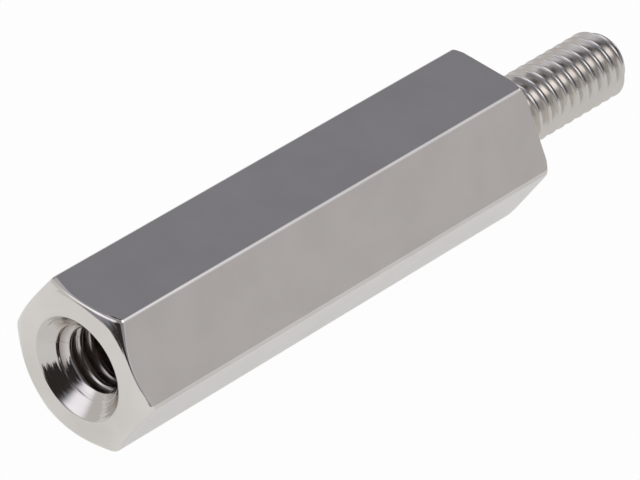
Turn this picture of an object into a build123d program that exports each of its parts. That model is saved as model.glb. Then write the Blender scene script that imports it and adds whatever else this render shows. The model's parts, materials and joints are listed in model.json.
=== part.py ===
from build123d import *
import os
from math import cos, pi, radians, tan

# Hex standoff, turned in one piece from hexagon bar: a tapped socket in one end face and a
# threaded stud on the other. Lengths are in millimetres and angles in degrees.
# The axis lies along X, with the socket's end face at X = 0 and the stud towards +X.
# Z is up, square to the flat that the standoff lies on.

# Hexagon body
side_count = 6
across_flats = 5.0
body_length = 18.0
corner_radius = 0.2

# Chamfers that take the corners off both ends of the body, each as deep as it is at a corner
chamfer_angle = 30.0
socket_chamfer_depth = 0.27
shoulder_chamfer_depth = 0.1

# Socket for an M2.5 thread, bored to the crests of the thread
socket_diameter = 2.05
socket_depth = 9.0
countersink_diameter = 3.5
countersink_angle = 90.0
drill_point_angle = 118.0

# Stud of an M2.5 thread, at the diameter of its crests
stud_diameter = 2.38
stud_length = 6.0
tip_chamfer = 0.42

# How far the turning profile stands outside the corners that it trims
overrun = 1.0

# Sizes that follow from those above
corners_to_flats_ratio = 1 / cos(pi / side_count)
sharp_corner_reach = corners_to_flats_ratio * across_flats / 2
corner_reach = sharp_corner_reach - (corners_to_flats_ratio - 1) * corner_radius
chamfer_slope = tan(radians(chamfer_angle))
socket_ring_radius = corner_reach - socket_chamfer_depth / chamfer_slope
shoulder_ring_radius = corner_reach - shoulder_chamfer_depth / chamfer_slope
turning_radius = corner_reach + overrun
socket_cone_end = (turning_radius - socket_ring_radius) * chamfer_slope
shoulder_cone_start = body_length - (turning_radius - shoulder_ring_radius) * chamfer_slope
socket_radius = socket_diameter / 2
drill_point_length = socket_radius / tan(radians(drill_point_angle / 2))

with BuildPart() as standoff:
    # The bar: a hexagon lying on a flat, its long edges lightly rounded
    with BuildSketch(Plane.YZ) as bar_section:
        RegularPolygon(radius=across_flats / 2, side_count=side_count, major_radius=False)
        fillet(bar_section.vertices(), radius=corner_radius)
    extrude(amount=body_length)

    # Both ends turned to a cone that leaves a round face between the corners
    with BuildSketch(Plane.XY):
        with BuildLine():
            Polyline(
                (0, 0),
                (0, socket_ring_radius),
                (socket_cone_end, turning_radius),
                (shoulder_cone_start, turning_radius),
                (body_length, shoulder_ring_radius),
                (body_length, 0),
                close=True,
            )
        make_face()
    revolve(axis=Axis.X, mode=Mode.INTERSECT)

    # The stud, standing on the shoulder, with its tip chamfered
    shoulder = standoff.faces().sort_by(Axis.X)[-1]
    with BuildSketch(Plane(shoulder)):
        Circle(radius=stud_diameter / 2)
    extrude(amount=stud_length)
    tip = standoff.faces().sort_by(Axis.X)[-1]
    chamfer(tip.edges(), length=tip_chamfer)

    # The socket: countersunk at its mouth, straight, and ending in the drill's point
    socket_face = standoff.faces().sort_by(Axis.X)[0]
    with Locations(Plane(socket_face)):
        CounterSinkHole(
            radius=socket_radius,
            counter_sink_radius=countersink_diameter / 2,
            depth=socket_depth,
            counter_sink_angle=countersink_angle,
        )
    with Locations(Plane.YZ.offset(socket_depth)):
        Cone(
            bottom_radius=socket_radius,
            top_radius=0,
            height=drill_point_length,
            align=(Align.CENTER, Align.CENTER, Align.MIN),
            mode=Mode.SUBTRACT,
        )

standoff.part.label = "hex standoff"

os.makedirs("parts", exist_ok=True)
export_step(standoff.part, "parts/hex_standoff.step")
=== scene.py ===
"""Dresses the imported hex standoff: turned ends, cut threads and bright nickel plate, on a studio floor."""

import json
import math

import bpy
import numpy as np
from bpy.props import FloatProperty, FloatVectorProperty, PointerProperty
from mathutils import Matrix, Vector


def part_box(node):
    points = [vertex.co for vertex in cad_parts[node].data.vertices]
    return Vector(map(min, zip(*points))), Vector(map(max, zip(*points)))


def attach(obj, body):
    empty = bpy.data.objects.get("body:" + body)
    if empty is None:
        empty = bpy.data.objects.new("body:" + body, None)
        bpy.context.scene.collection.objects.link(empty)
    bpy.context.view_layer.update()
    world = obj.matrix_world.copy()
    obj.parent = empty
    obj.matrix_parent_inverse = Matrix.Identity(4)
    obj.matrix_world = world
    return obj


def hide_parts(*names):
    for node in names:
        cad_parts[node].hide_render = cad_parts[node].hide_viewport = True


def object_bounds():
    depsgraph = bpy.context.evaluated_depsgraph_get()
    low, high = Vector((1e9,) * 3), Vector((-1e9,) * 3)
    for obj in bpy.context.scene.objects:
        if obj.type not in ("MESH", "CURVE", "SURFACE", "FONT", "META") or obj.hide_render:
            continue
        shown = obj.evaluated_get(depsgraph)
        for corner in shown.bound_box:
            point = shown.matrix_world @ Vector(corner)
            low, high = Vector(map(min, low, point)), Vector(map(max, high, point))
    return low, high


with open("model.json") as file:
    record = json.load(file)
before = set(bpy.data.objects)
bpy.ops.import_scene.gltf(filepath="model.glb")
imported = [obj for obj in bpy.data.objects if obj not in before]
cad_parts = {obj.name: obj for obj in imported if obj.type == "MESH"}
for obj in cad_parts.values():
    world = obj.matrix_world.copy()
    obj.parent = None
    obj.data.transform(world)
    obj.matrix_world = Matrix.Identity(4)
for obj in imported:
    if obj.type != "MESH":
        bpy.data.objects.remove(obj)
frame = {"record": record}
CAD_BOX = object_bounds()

bl_info = {
    "name": "Hex standoff",
    "version": (1, 0, 0),
    "blender": (4, 5, 0),
    "location": "View3D > Sidebar > Standoff",
    "description": "Builds a plated hex standoff with real threads, and a studio floor to show it on",
    "category": "Add Mesh",
}

NODE = "hex_standoff"
MOUNTS = {mount["name"]: mount for mount in frame["record"]["mounts"]}
LOW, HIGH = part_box(NODE)
SHOULDER_X = MOUNTS["shoulder_face"]["pos_m"][0]
SOCKET_CREST = MOUNTS["socket_thread"]["dims"]["r_mm"] / 1000
STUD_CREST = MOUNTS["stud_thread"]["dims"]["r_mm"] / 1000

# Shape: angles in degrees, lengths in metres
SIDES = 6
DRILL_HALF_ANGLE = 59.0
FLANK_SLOPE = math.sqrt(3.0)
WELD = 1e-7

# Thread, in pitches: roundings of crest and root, the rows beside them, and the run-out of the tap
CREST_ROUND = 1 / 32
ROOT_ROUND = 1 / 8
ROW_GAP = 0.02
RUN_OUT = 1.5

# Shares: of a short run that a rounding may take, of the reach where corners begin, of the countersink
# below which it is a plain cone and at which its step stands, and of the tip chamfer left unthreaded
ROUND_LIMIT = 0.45
CORNER_FROM = 0.93
CORNER_SPAN = 0.07
PLAIN_CONE = 0.3
STEP_AT = 0.6
TIP_PLAIN = 0.15

# Finish: noise scales for each metre, the height of the lines in metres, and linear colours
DRAWN_SCALE = (9000.0, 250.0, 0.0)
RING_SCALE = (150.0, 9000.0, 0.0)
LINE_HEIGHT = 0.000014
DRAWN_SHARE = 0.1
GLOSS_LOW = 0.7
GLOSS_HIGH = 1.3
CLOUD_SCALE = 650.0
CLOUD_DARK = 0.96
CLOUD_LIGHT = 1.03
# Painted light: a gain that brightens the colour of turned faces outside the socket's mouth
PAINTED_LIGHT_GAIN = (1.16, 1.16, 1.15, 1.0)
# Painted shade: a brown mixed into the plate's colour to darken the socket's bottom and tapped wall
PAINTED_SHADE_COLOUR = (0.45, 0.39, 0.36, 1.0)

# Stage: tint of the surround, then the camera's angles in degrees and its lengths in metres
SURROUND_TINT = (0.96, 0.97, 1.1)
VIEW_AZIMUTH = -49.031
VIEW_ELEVATION = 37.027
VIEW_ROLL = 4.194
VIEW_CENTRE = (0.010, 0.0, 0.0)
VIEW_RIGHT = 0.000330
VIEW_DOWN = 0.000215
VIEW_DISTANCE = 0.155592
SENSOR_MM = 36.0
CLIP_NEAR = 0.005
CLIP_FAR = 20.0


def length(label, words, default):
    """A length in metres that the sidebar shows in the scene's own unit."""
    return FloatProperty(
        name=label, description=words, default=default, min=0.0, precision=5, unit="LENGTH"
    )


def share(label, words, default, top=1.0):
    """A plain number with a range."""
    return FloatProperty(name=label, description=words, default=default, min=0.0, max=top, precision=3)


def colour(label, words, default):
    """A linear colour."""
    return FloatVectorProperty(
        name=label, description=words, default=default, size=3, min=0.0, max=1.0, subtype="COLOR"
    )


class StandoffSizes(bpy.types.PropertyGroup):
    """Sizes of the turned bar, its threads and its plate."""

    across_flats: length("Across flats", "Width of the hexagon bar between two flats", HIGH[2] - LOW[2])
    body: length("Body length", "From the socket's end face to the shoulder", SHOULDER_X)
    stud: length("Stud length", "From the shoulder to the tip", HIGH[0] - SHOULDER_X)
    corner: length("Long edge radius", "Rounding of the bar's six long edges", 0.0002)
    socket_chamfer: length("Socket end chamfer", "Depth of the chamfer at the corners, socket end", 0.00027)
    shoulder_chamfer: length("Shoulder chamfer", "Depth of the chamfer at the corners, stud end", 0.0001)
    chamfer_slope: share("Chamfer slope", "Depth of the end chamfers for each unit of radius", 0.57735)
    edge_break: length("Edge break", "Softening of the turned edges", 0.00004)
    chamfer_soft: share("Chamfer softness", "Share of an end chamfer that its rounded edges take up", 0.38)
    corner_soft: share("Corner softness", "The same share where a chamfer crosses a long edge", 0.32)
    mouth: length("Countersink radius", "Radius of the countersink at the end face", 0.00175)
    socket_crest: length("Socket crest radius", "Inner radius of the socket's thread", SOCKET_CREST)
    socket_depth: length("Drilled depth", "Depth of the straight bore", 0.009)
    socket_thread: length("Threaded depth", "Depth that the tap reached", 0.0078)
    stud_crest: length("Stud crest radius", "Outer radius of the stud's thread", STUD_CREST)
    tip_chamfer: length("Tip chamfer", "Chamfer at the stud's tip", 0.00042)
    sink_step: length("Countersink step", "Height of the fine step in the countersink", 0.00003)
    pitch: length("Thread pitch", "Advance of the thread in one turn", 0.00045)
    depth: length("Thread depth", "From the crest of the thread to its root", 0.00026)
    crest_flat: length("Crest flat", "Width of the flat on the thread's crest", 0.00003)
    socket_turn: share("Socket thread start", "Where the socket's thread starts, in turns", 0.31)
    stud_turn: share("Stud thread start", "Where the stud's thread leaves the shoulder, in turns", 0.25)
    plate: colour("Plate", "Reflection colour of the nickel plate", (0.71, 0.68, 0.64))
    rough: share("Roughness", "Roughness of the plate on flats and turned faces", 0.12)
    thread_rough: share("Thread roughness", "Roughness of the plate on both threads", 0.2)


class StandoffStage(bpy.types.PropertyGroup):
    """Floor, studio panels and camera."""

    floor: colour("Floor", "Colour of the studio floor", (0.95, 0.95, 0.95))
    floor_size: length("Floor size", "Width of the studio floor", 6.0)
    floor_white: share("Floor white", "Share of plain white in the floor as the camera sees it", 0.97)
    mirror_white: share("Mirrored white", "Share of plain white in the floor as metal shows it", 0.55)
    surround: share("Surround level", "Light level of the studio around the panels", 0.28, 4.0)
    overhead: share("Overhead level", "Light level of the panel overhead", 0.86, 4.0)
    left: share("Left level", "Light level of the panel at the left", 1.2, 4.0)
    wing: share("Wing level", "Light level of the panel low at the left", 0.62, 4.0)
    front: share("Front level", "Light level of the panel in front", 1.9, 4.0)
    back: share("Back level", "Light level of the panel behind", 0.5, 4.0)
    side: share("Right level", "Light level of the panel at the right", 0.555, 4.0)
    dark: share("Dark level", "Light level of the dark side", 0.03, 4.0)
    lens: FloatProperty(
        name="Lens", description="Focal length of the camera", default=284.31, unit="CAMERA"
    )


def lesser(a, b, width):
    """The lesser of two heights, their meeting rounded over a width.

    A share h runs from 0 to 1 as one height passes the other. The result is their mix by h, less
    width * h * (1 - h)."""
    h = np.clip(0.5 + 0.5 * (b - a) / width, 0.0, 1.0)
    return b + (a - b) * h - width * h * (1.0 - h)


def ease(t):
    """A step from 0 to 1 with level ends: 3 t^2 - 2 t^3."""
    t = np.clip(t, 0.0, 1.0)
    return t * t * (3.0 - 2.0 * t)


def bar_columns(across, corner):
    """Columns round the axis at points of the bar's section.

    Each side is a straight run at half the width across flats, then an arc of the corner radius that
    turns through a sixth of a circle. Returns each column's angle about the axis, its distance from it,
    and its place along the perimeter."""
    half = across / 2
    reach = (half - corner) * math.tan(math.pi / SIDES)
    run = np.concatenate([[-1.0, -0.985], np.linspace(-0.93, 0.93, 15), [0.985, 1.0]])
    turn = np.linspace(0.0, 2 * math.pi / SIDES, 8)[1:-1]
    out = np.concatenate([np.full(run.size, half), half - corner + corner * np.cos(turn)])
    along = np.concatenate([reach * run, reach + corner * np.sin(turn)])
    facing = math.pi / SIDES + 2 * math.pi / SIDES * np.arange(SIDES)
    angle = (facing[:, None] + np.arctan2(along, out)[None, :]).ravel()
    radius = np.tile(np.hypot(out, along), SIDES)
    y, z = radius * np.cos(angle), radius * np.sin(angle)
    step = np.hypot(np.diff(y, append=y[:1]), np.diff(z, append=z[:1]))
    return angle, radius, np.concatenate([[0.0], np.cumsum(step)])


def rounded_run(corners, rounding, spacing):
    """Rows along a path of straight runs whose corners are rounded, for every column at once.

    corners is (corner, column, 2) with x and radius. Each inner corner becomes a parabola that leaves
    one run and joins the next at its rounding from the corner, or nearer where a run is too short for
    that. spacing gives the shares along each run at which rows stand. Returns rows of (row, column, 2)."""
    leg = np.diff(corners, axis=0)
    size = np.linalg.norm(leg, axis=2)
    unit = leg / size[..., None]
    start, rows = corners[0], []
    t = np.linspace(0.0, 1.0, 7)[1:-1, None, None]
    for i, shares in enumerate(spacing):
        last = i == len(spacing) - 1
        corner = corners[i + 1]
        if last:
            end = corner
        else:
            room = ROUND_LIMIT * np.minimum(size[i], size[i + 1])
            cut = np.minimum(rounding[i], room)[:, None]
            end = corner - cut * unit[i]
        rows.append(start + (end - start) * np.asarray(shares)[:, None, None])
        if not last:
            start = corner + cut * unit[i + 1]
            rows.append((1 - t) ** 2 * end + 2 * t * (1 - t) * corner + t**2 * start)
    return np.concatenate(rows)


def thread_stops(pitch, depth, crest_flat):
    """Phases, in turns from a crest, at which rows stand.

    They are the ends of the flat crest, of both flanks and of the root, and of the roundings between
    them, the same on both sides of the crest."""
    crest = crest_flat / 2 / pitch
    root = crest + depth / FLANK_SLOPE / pitch
    bend = 1.0 / FLANK_SLOPE
    side = np.array(
        [
            crest,
            crest + bend * CREST_ROUND,
            crest + bend * CREST_ROUND + ROW_GAP,
            root - bend * ROOT_ROUND - ROW_GAP,
            root - bend * ROOT_ROUND,
            root,
            root + bend * ROOT_ROUND,
        ]
    )
    return np.concatenate([[0.0], side, 1.0 - side[::-1]])


def thread_rows(angle, low, high, pitch, stops, start):
    """Rows that follow a right-handed helix between two places along the axis.

    A row at phase k stands at low + pitch * (k + angle / full turn), held between low and high, so that
    a row which comes round again meets the row one turn further on. Returns each row's phase in turns
    from a crest, and x. A crest leaves low at the angle that start gives, in turns."""
    turns = (high - low) / pitch
    offset = (start - angle[0] / (2 * math.pi)) % 1.0
    tau = (np.arange(-2, math.ceil(turns) + 3)[:, None] + stops[None, :] - offset).ravel()
    tau = tau[np.searchsorted(tau, -1.0, side="right") - 1 : np.searchsorted(tau, turns) + 1]
    around = (angle - angle[0]) / (2 * math.pi)
    x = np.clip(low + pitch * (tau[:, None] + around[None, :]), low, high)
    phase = (x - low) / pitch - angle[None, :] / (2 * math.pi) + start
    return phase, x


def thread_drop(phase, pitch, depth, crest_flat):
    """How far the thread's surface lies below its crest.

    It is a 60 degree vee between a narrow flat crest and a rounded root, from the distance along the
    axis to the nearest crest."""
    away = np.abs((phase + 0.5) % 1.0 - 0.5) * pitch
    flank = (away - crest_flat / 2) * FLANK_SLOPE
    below_crest = -lesser(-flank, 0.0, CREST_ROUND * pitch)
    return lesser(below_crest, depth, ROOT_ROUND * pitch)


def standoff_rows(s, angle, radius):
    """The whole standoff as rows of (x, distance from the axis).

    The rows run from the drill's point in the bottom of the socket, out over the end face, along the
    flats, over the shoulder and up the stud to the middle of its tip. Returns x and distance for every
    row and column, the row that each row meets when it comes round to the first column, and the finish
    of every row and column: its share of turning rings, its share of painted light on turned metal
    further out than the socket's mouth, its roughness and its share of painted shade in the socket."""
    columns = np.ones_like(angle)

    def at(x, r):
        return np.stack([x * columns, r * columns], axis=-1)

    # Shares of a run at which rows stand
    even = np.linspace(0.0, 1.0, 5)
    held = np.array([0.0, 0.03, 0.25, 0.5, 0.75, 0.97, 1.0])
    long_run = np.concatenate([[0.0, 0.002, 0.03], np.linspace(0.1, 0.9, 9), [0.97, 0.998, 1.0]])

    point = s.socket_crest / math.tan(math.radians(DRILL_HALF_ANGLE))
    corner_reach = radius.max()
    socket_ring = corner_reach - s.socket_chamfer / s.chamfer_slope
    shoulder_ring = corner_reach - s.shoulder_chamfer / s.chamfer_slope
    socket_ring = np.minimum(socket_ring, radius - s.edge_break)
    shoulder_ring = np.minimum(shoulder_ring, radius - s.edge_break)
    cornered = ease((radius - CORNER_FROM * corner_reach) / (CORNER_SPAN * corner_reach))
    softness = s.chamfer_soft + (s.corner_soft - s.chamfer_soft) * cornered
    run_share = softness * math.hypot(1.0, s.chamfer_slope)
    socket_soft = run_share * (radius - socket_ring)
    shoulder_soft = run_share * (radius - shoulder_ring)
    tip = s.body + s.stud
    stops = thread_stops(s.pitch, s.depth, s.crest_flat)
    steps = stops.size
    fine = s.pitch / 8
    finest = s.pitch / 16

    # Bottom of the socket: the drill's cone and the plain end of the bore
    bottom = rounded_run(
        np.stack(
            [
                at(s.socket_depth + point, 0.0),
                at(s.socket_depth, s.socket_crest),
                at(s.socket_thread, s.socket_crest),
            ]
        ),
        [s.edge_break],
        [even, even],
    )

    # Tapped wall, from its run-out to the countersink, whose cone takes the crests away near the mouth.
    # Painted shade darkens the grooves of the first turn, and the whole wall further in.
    sink = s.mouth - s.socket_crest
    cone_end = PLAIN_CONE * sink
    phase, x = thread_rows(angle, cone_end, s.socket_thread, s.pitch, stops, s.socket_turn)
    depth = s.depth * ease((s.socket_thread - x) / (RUN_OUT * s.pitch))
    drop = thread_drop(phase, s.pitch, s.depth, s.crest_flat) / s.depth
    wall = s.socket_crest + depth - drop * depth
    cone = s.mouth - x - s.sink_step * ease((x - STEP_AT * sink) / fine)
    tapped = ease((wall - cone) / fine)[::-1]
    shaded_grooves = np.maximum(ease(1.6 - 2.0 * drop), ease((x - s.pitch) / (3 * s.pitch)))[::-1]
    wall = -lesser(-wall, -cone, finest)
    socket = np.stack([x, wall], axis=-1)[::-1]

    # Countersink, end face, chamfer, flats, chamfer and shoulder
    body = rounded_run(
        np.stack(
            [
                at(cone_end, s.mouth - cone_end),
                at(0.0, s.mouth),
                at(0.0, socket_ring),
                at((radius - socket_ring) * s.chamfer_slope, radius),
                at(s.body - (radius - shoulder_ring) * s.chamfer_slope, radius),
                at(s.body, shoulder_ring),
                at(s.body, s.stud_crest),
            ]
        ),
        [2 * s.edge_break, socket_soft, socket_soft, shoulder_soft, shoulder_soft],
        [held, held, held, long_run, held, held],
    )

    # Stud: thread from the shoulder on, and the tip's chamfer through the last turns
    stud_end = tip - TIP_PLAIN * s.tip_chamfer
    phase, x = thread_rows(angle, s.body, stud_end, s.pitch, stops, s.stud_turn)
    crest = s.stud_crest - thread_drop(phase, s.pitch, s.depth, s.crest_flat)
    crest = lesser(crest, tip - x + s.stud_crest - s.tip_chamfer, finest)
    stud = np.stack([x, crest], axis=-1)

    end = rounded_run(
        np.stack([stud[-1], at(tip, s.stud_crest - s.tip_chamfer), at(tip, 0.0)]),
        [2 * s.edge_break],
        [even, held],
    )

    parts = [bottom, socket, body, stud, end]
    rows = np.concatenate(parts)
    counts = np.array([len(p) for p in parts])
    first = np.concatenate([[0], np.cumsum(counts)])
    in_socket = slice(first[1], first[2])
    on_stud = slice(first[3], first[4])
    meets = np.arange(len(rows))
    meets[in_socket] = np.maximum(meets[in_socket] - steps, first[1])
    meets[on_stud] = np.minimum(meets[on_stud] + steps, first[4] - 1)

    # Finish of each of the parts in turn, then of the flats and of the tapped wall
    turned = np.repeat([1.0, 1.0, 1.0, 0.5, 1.0], counts)
    turned[np.isclose(np.ptp(rows[..., 1], axis=1), np.ptp(radius), rtol=1e-3)] = 0.0
    threaded = np.repeat([1.0, 0.0, 0.0, 1.0, 0.0], counts)[:, None] * columns
    threaded[in_socket] = tapped
    # Painted shade: the bottom of the socket is darkened throughout, the tapped wall in its grooves and
    # further in
    tarnish = np.repeat([1.0, 0.0, 0.0, 0.0, 0.0], counts)[:, None] * columns
    tarnish[in_socket] = tapped * shaded_grooves
    # Painted light: turned faces further out than the socket's mouth are brightened
    finish = {
        "turned": turned[:, None] * columns,
        "clean": turned[:, None] * (rows[..., 1] > s.mouth),
        "rough": s.rough + (s.thread_rough - s.rough) * threaded,
        "tarnish": tarnish,
    }
    return rows, meets, finish


def grid_mesh(name, points, meets, lay, finish):
    """A closed mesh from a grid of points: rows run along the path and columns round the axis.

    Each square of the grid gives two triangles, points that coincide are made one, and triangles that
    this leaves without area are dropped. lay holds the place round and along for each corner of the
    grid, and finish the values that the material reads at each point."""
    rows, columns = points.shape[:2]
    here = np.arange(rows)[:, None] * columns + np.arange(columns)[None, :]
    onward = np.concatenate([here[:, 1:], (meets * columns)[:, None]], axis=1)
    quads = np.stack([here[:-1], onward[:-1], onward[1:], here[1:]], axis=-1).reshape(-1, 4)
    around, along = lay
    u = np.broadcast_to(around[None, :], (rows, columns + 1))
    v = np.concatenate([along, along[:, :1]], axis=1)
    uv = np.stack([u, v], axis=-1)
    uvs = np.stack([uv[:-1, :-1], uv[:-1, 1:], uv[1:, 1:], uv[1:, :-1]], axis=2).reshape(-1, 4, 2)

    flat = points.reshape(-1, 3)
    cells = np.round(flat / WELD).astype(np.int64)
    _, index, same = np.unique(cells, axis=0, return_index=True, return_inverse=True)
    same = same.reshape(-1)
    halves = [0, 1, 2, 0, 2, 3]
    triangles = same[quads[:, halves]].reshape(-1, 3)
    corners = uvs[:, halves].reshape(-1, 3, 2)
    a, b, c = triangles.T
    real = (a != b) & (b != c) & (c != a)
    triangles, corners = triangles[real], corners[real]

    mesh = bpy.data.meshes.new(name)
    mesh.vertices.add(index.size)
    mesh.vertices.foreach_set("co", flat[index].astype(np.float32).ravel())
    mesh.loops.add(triangles.size)
    mesh.loops.foreach_set("vertex_index", triangles.astype(np.int32).ravel())
    mesh.polygons.add(len(triangles))
    mesh.polygons.foreach_set("loop_start", np.arange(0, triangles.size, 3, dtype=np.int32))
    mesh.update(calc_edges=True)
    mesh.polygons.foreach_set("use_smooth", np.ones(len(triangles), dtype=bool))
    layer = mesh.uv_layers.new(name="lay")
    layer.uv.foreach_set("vector", corners.astype(np.float32).ravel())
    for label, values in finish.items():
        attribute = mesh.attributes.new(label, "FLOAT", "POINT")
        attribute.data.foreach_set("value", values.ravel()[index].astype(np.float32))
    if mesh.validate(verbose=False):
        raise RuntimeError(f"the mesh of {name} had to be mended")
    return mesh


def nickel_plate(base):
    """Bright nickel over drawn and turned metal.

    Fine lines run along the flats, where the bar was drawn, and in rings on what was turned. Soft clouds
    vary the colour a little, painted light brightens the turned faces outside the socket, and painted
    shade darkens the plate to brown inside the socket."""
    material = bpy.data.materials.new("bright nickel plate")
    material.use_nodes = True
    nodes, links = material.node_tree.nodes, material.node_tree.links
    shader = nodes["Principled BSDF"]
    shader.inputs["Metallic"].default_value = 1.0

    def read(name):
        node = nodes.new("ShaderNodeAttribute")
        node.attribute_name = name
        return node.outputs["Fac"]

    lay = nodes.new("ShaderNodeUVMap")
    lay.uv_map = "lay"

    def lines(scale):
        spread = nodes.new("ShaderNodeVectorMath")
        spread.operation = "MULTIPLY"
        spread.inputs[1].default_value = scale
        links.new(lay.outputs["UV"], spread.inputs[0])
        noise = nodes.new("ShaderNodeTexNoise")
        noise.inputs["Scale"].default_value = 1.0
        noise.inputs["Detail"].default_value = 2.0
        links.new(spread.outputs["Vector"], noise.inputs["Vector"])
        return noise.outputs["Fac"]

    def sized(value, low, high):
        node = nodes.new("ShaderNodeMapRange")
        node.inputs["To Min"].default_value = low
        node.inputs["To Max"].default_value = high
        links.new(value, node.inputs["Value"])
        return node.outputs["Result"]

    drawn = lines(DRAWN_SCALE)
    rings = lines(RING_SCALE)
    turned = read("turned")

    relief = nodes.new("ShaderNodeMix")
    links.new(turned, relief.inputs["Factor"])
    links.new(sized(drawn, 0.0, DRAWN_SHARE), relief.inputs["A"])
    links.new(rings, relief.inputs["B"])
    bump = nodes.new("ShaderNodeBump")
    bump.inputs["Strength"].default_value = 1.0
    bump.inputs["Distance"].default_value = LINE_HEIGHT
    links.new(relief.outputs["Result"], bump.inputs["Height"])
    links.new(bump.outputs["Normal"], shader.inputs["Normal"])

    gloss = nodes.new("ShaderNodeMath")
    gloss.operation = "MULTIPLY"
    links.new(read("rough"), gloss.inputs[0])
    links.new(sized(drawn, GLOSS_LOW, GLOSS_HIGH), gloss.inputs[1])
    links.new(gloss.outputs["Value"], shader.inputs["Roughness"])

    place = nodes.new("ShaderNodeTexCoord")
    clouds = nodes.new("ShaderNodeTexNoise")
    clouds.inputs["Scale"].default_value = CLOUD_SCALE
    clouds.inputs["Detail"].default_value = 4.0
    links.new(place.outputs["Object"], clouds.inputs["Vector"])
    tint = nodes.new("ShaderNodeValToRGB")
    tint.color_ramp.elements[0].position = 0.3
    tint.color_ramp.elements[1].position = 0.7
    tint.color_ramp.elements[0].color = (*(CLOUD_DARK * c for c in base), 1.0)
    tint.color_ramp.elements[1].color = (*(CLOUD_LIGHT * c for c in base), 1.0)
    links.new(clouds.outputs["Fac"], tint.inputs["Fac"])
    # Painted light: a gain on the colour of turned faces outside the socket's mouth
    clean = nodes.new("ShaderNodeMix")
    clean.data_type = "RGBA"
    clean.blend_type = "MULTIPLY"
    links.new(read("clean"), clean.inputs["Factor"])
    links.new(tint.outputs["Color"], clean.inputs["A"])
    clean.inputs["B"].default_value = PAINTED_LIGHT_GAIN
    # Painted shade: the brown colour mixed in where the socket is darkened
    shade_mix = nodes.new("ShaderNodeMix")
    shade_mix.data_type = "RGBA"
    links.new(read("tarnish"), shade_mix.inputs["Factor"])
    links.new(clean.outputs["Result"], shade_mix.inputs["A"])
    shade_mix.inputs["B"].default_value = PAINTED_SHADE_COLOUR
    links.new(shade_mix.outputs["Result"], shader.inputs["Base Color"])
    return material


class STANDOFF_OT_piece(bpy.types.Operator):
    """Build the plated standoff with its socket, flats and threaded stud"""

    bl_idname = "standoff.piece"
    bl_label = "Build standoff"
    bl_options = {"REGISTER", "UNDO"}

    def execute(self, context):
        s = context.scene.standoff_sizes
        angle, radius, perimeter = bar_columns(s.across_flats, s.corner)
        rows, meets, finish = standoff_rows(s, angle, radius)
        x, r = rows[..., 0], rows[..., 1]
        points = np.stack([x, r * np.cos(angle), r * np.sin(angle)], axis=-1)
        mesh = grid_mesh("standoff", points, meets, (perimeter, x - r), finish)
        mesh.materials.append(nickel_plate(s.plate))
        piece = bpy.data.objects.new("standoff", mesh)
        context.scene.collection.objects.link(piece)
        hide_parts(NODE)
        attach(piece, "root")
        return {"FINISHED"}


def studio_sky(stage):
    """Light of the studio by direction: an even surround with soft-edged round panels laid over it.

    A panel's share at a direction is a smooth step of the cosine of the angle between the two. Each
    panel has a name, its direction, the angles of its inner and outer edge, its level and its tint."""
    world = bpy.data.worlds.new("studio")
    world.use_nodes = True
    nodes, links = world.node_tree.nodes, world.node_tree.links
    background = nodes["Background"]
    way = nodes.new("ShaderNodeTexCoord")
    panels = (
        ("dark side", (-0.88, -0.40, 0.25), 28.0, 38.0, stage.dark, (1.0, 0.9, 0.85)),
        ("right panel", (0.62, -0.80, 0.10), 16.0, 36.0, stage.side, (1.0, 0.98, 1.0)),
        ("overhead panel", (0.50, -0.45, 0.74), 12.0, 30.0, stage.overhead, (0.95, 0.95, 1.02)),
        ("front panel", (0.285, -0.455, 0.844), 8.0, 22.0, stage.front, (1.0, 0.99, 1.03)),
        ("back panel", (0.10, 0.62, 0.78), 14.0, 28.0, stage.back, (0.96, 0.98, 1.05)),
        ("ceiling gap", (0.280, 0.300, 0.912), 9.0, 16.5, stage.dark, (1.0, 0.95, 0.95)),
        ("left wing", (-0.46, 0.87, 0.17), 18.0, 36.0, stage.wing, (1.0, 0.97, 0.98)),
        ("left panel", (-0.64, 0.46, 0.615), 8.0, 27.0, stage.left, (0.97, 0.96, 1.05)),
    )
    below = [stage.surround * tint for tint in SURROUND_TINT]
    source = None
    for name, aim, inner, outer, level, tints in panels:
        facing = nodes.new("ShaderNodeVectorMath")
        facing.operation = "DOT_PRODUCT"
        facing.inputs[1].default_value = Vector(aim).normalized()
        links.new(way.outputs["Generated"], facing.inputs[0])
        edge = nodes.new("ShaderNodeMapRange")
        edge.interpolation_type = "SMOOTHSTEP"
        edge.inputs["From Min"].default_value = math.cos(math.radians(outer))
        edge.inputs["From Max"].default_value = math.cos(math.radians(inner))
        links.new(facing.outputs["Value"], edge.inputs["Value"])
        over = nodes.new("ShaderNodeMix")
        over.data_type = "RGBA"
        over.label = name
        links.new(edge.outputs["Result"], over.inputs["Factor"])
        if source is None:
            over.inputs["A"].default_value = (*below, 1.0)
        else:
            links.new(source, over.inputs["A"])
        over.inputs["B"].default_value = (*(level * tint for tint in tints), 1.0)
        source = over.outputs["Result"]
    links.new(source, background.inputs["Color"])
    background.inputs["Strength"].default_value = 1.0
    return world


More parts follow.
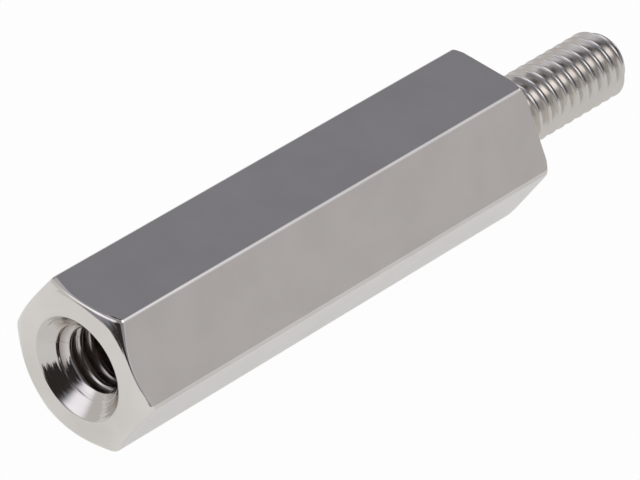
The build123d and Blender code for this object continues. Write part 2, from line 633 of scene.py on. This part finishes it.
def pale_floor(base, white, mirror_white):
    """Matt pale floor, part of which is seen as plain white.

    That keeps the shadow of what lies on it faint. One share is for the camera, and one for what is
    seen in metal or glass."""
    material = bpy.data.materials.new("studio floor")
    material.use_nodes = True
    nodes, links = material.node_tree.nodes, material.node_tree.links
    matt = nodes["Principled BSDF"]
    matt.inputs["Base Color"].default_value = (*base, 1.0)
    matt.inputs["Roughness"].default_value = 0.9
    matt.inputs["Specular IOR Level"].default_value = 0.0
    glow = nodes.new("ShaderNodeEmission")
    glow.inputs["Strength"].default_value = 1.0
    path = nodes.new("ShaderNodeLightPath")
    part = None
    for ray, amount in (
        ("Is Camera Ray", white),
        ("Is Glossy Ray", mirror_white),
        ("Is Transmission Ray", mirror_white),
    ):
        seen = nodes.new("ShaderNodeMath")
        seen.operation = "MULTIPLY"
        seen.inputs[1].default_value = amount
        links.new(path.outputs[ray], seen.inputs[0])
        if part is None:
            part = seen.outputs["Value"]
        else:
            most = nodes.new("ShaderNodeMath")
            most.operation = "MAXIMUM"
            links.new(part, most.inputs[0])
            links.new(seen.outputs["Value"], most.inputs[1])
            part = most.outputs["Value"]
    mix = nodes.new("ShaderNodeMixShader")
    links.new(part, mix.inputs["Fac"])
    links.new(matt.outputs["BSDF"], mix.inputs[1])
    links.new(glow.outputs["Emission"], mix.inputs[2])
    links.new(mix.outputs["Shader"], nodes["Material Output"].inputs["Surface"])
    return material


class STANDOFF_OT_stage(bpy.types.Operator):
    """Lay the studio floor, hang the light panels and set the camera"""

    bl_idname = "standoff.stage"
    bl_label = "Build stage"
    bl_options = {"REGISTER", "UNDO"}

    def execute(self, context):
        stage = context.scene.standoff_stage
        half = stage.floor_size / 2
        height = float(CAD_BOX[0][2])
        mesh = bpy.data.meshes.new("floor")
        sides = [(-half, -half, height), (half, -half, height), (half, half, height), (-half, half, height)]
        mesh.from_pydata(sides, [], [(0, 1, 2, 3)])
        mesh.materials.append(pale_floor(stage.floor, stage.floor_white, stage.mirror_white))
        floor = bpy.data.objects.new("floor", mesh)
        context.scene.collection.objects.link(floor)

        context.scene.world = studio_sky(stage)

        camera = bpy.data.cameras.new("camera")
        camera.lens = stage.lens
        camera.sensor_width = SENSOR_MM
        camera.sensor_fit = "HORIZONTAL"
        camera.clip_start = CLIP_NEAR
        camera.clip_end = CLIP_FAR
        holder = bpy.data.objects.new("camera", camera)
        azimuth = math.radians(VIEW_AZIMUTH)
        elevation = math.radians(VIEW_ELEVATION)
        roll = math.radians(VIEW_ROLL)
        level = math.cos(elevation)
        back = Vector((math.sin(azimuth) * level, -math.cos(azimuth) * level, math.sin(elevation)))
        right = Vector((math.cos(azimuth), math.sin(azimuth), 0.0))
        up = back.cross(right)
        right, up = (
            math.cos(roll) * right + math.sin(roll) * up,
            math.cos(roll) * up - math.sin(roll) * right,
        )
        shift = VIEW_RIGHT * right - VIEW_DOWN * up
        place = Vector(VIEW_CENTRE) + shift + VIEW_DISTANCE * back
        holder.matrix_world = Matrix((right, up, back)).transposed().to_4x4()
        holder.location = place
        context.scene.collection.objects.link(holder)
        context.scene.camera = holder
        context.scene.view_settings.view_transform = "Standard"
        return {"FINISHED"}


class STANDOFF_PT_panel(bpy.types.Panel):
    """Sizes, finish and stage of the standoff"""

    bl_idname = "STANDOFF_PT_panel"
    bl_label = "Hex standoff"
    bl_space_type = "VIEW_3D"
    bl_region_type = "UI"
    bl_category = "Standoff"

    def draw(self, context):
        for group, operator in (
            (context.scene.standoff_sizes, STANDOFF_OT_piece),
            (context.scene.standoff_stage, STANDOFF_OT_stage),
        ):
            box = self.layout.box()
            box.operator(operator.bl_idname)
            for name in group.__annotations__:
                box.prop(group, name)


CLASSES = (StandoffSizes, StandoffStage, STANDOFF_OT_piece, STANDOFF_OT_stage, STANDOFF_PT_panel)


def register():
    for cls in CLASSES:
        bpy.utils.register_class(cls)
    bpy.types.Scene.standoff_sizes = PointerProperty(type=StandoffSizes)
    bpy.types.Scene.standoff_stage = PointerProperty(type=StandoffStage)


def unregister():
    del bpy.types.Scene.standoff_stage
    del bpy.types.Scene.standoff_sizes
    for cls in reversed(CLASSES):
        bpy.utils.unregister_class(cls)


def main():
    register()
    bpy.ops.standoff.piece()
    bpy.ops.standoff.stage()


if __name__ == "__main__":
    main()
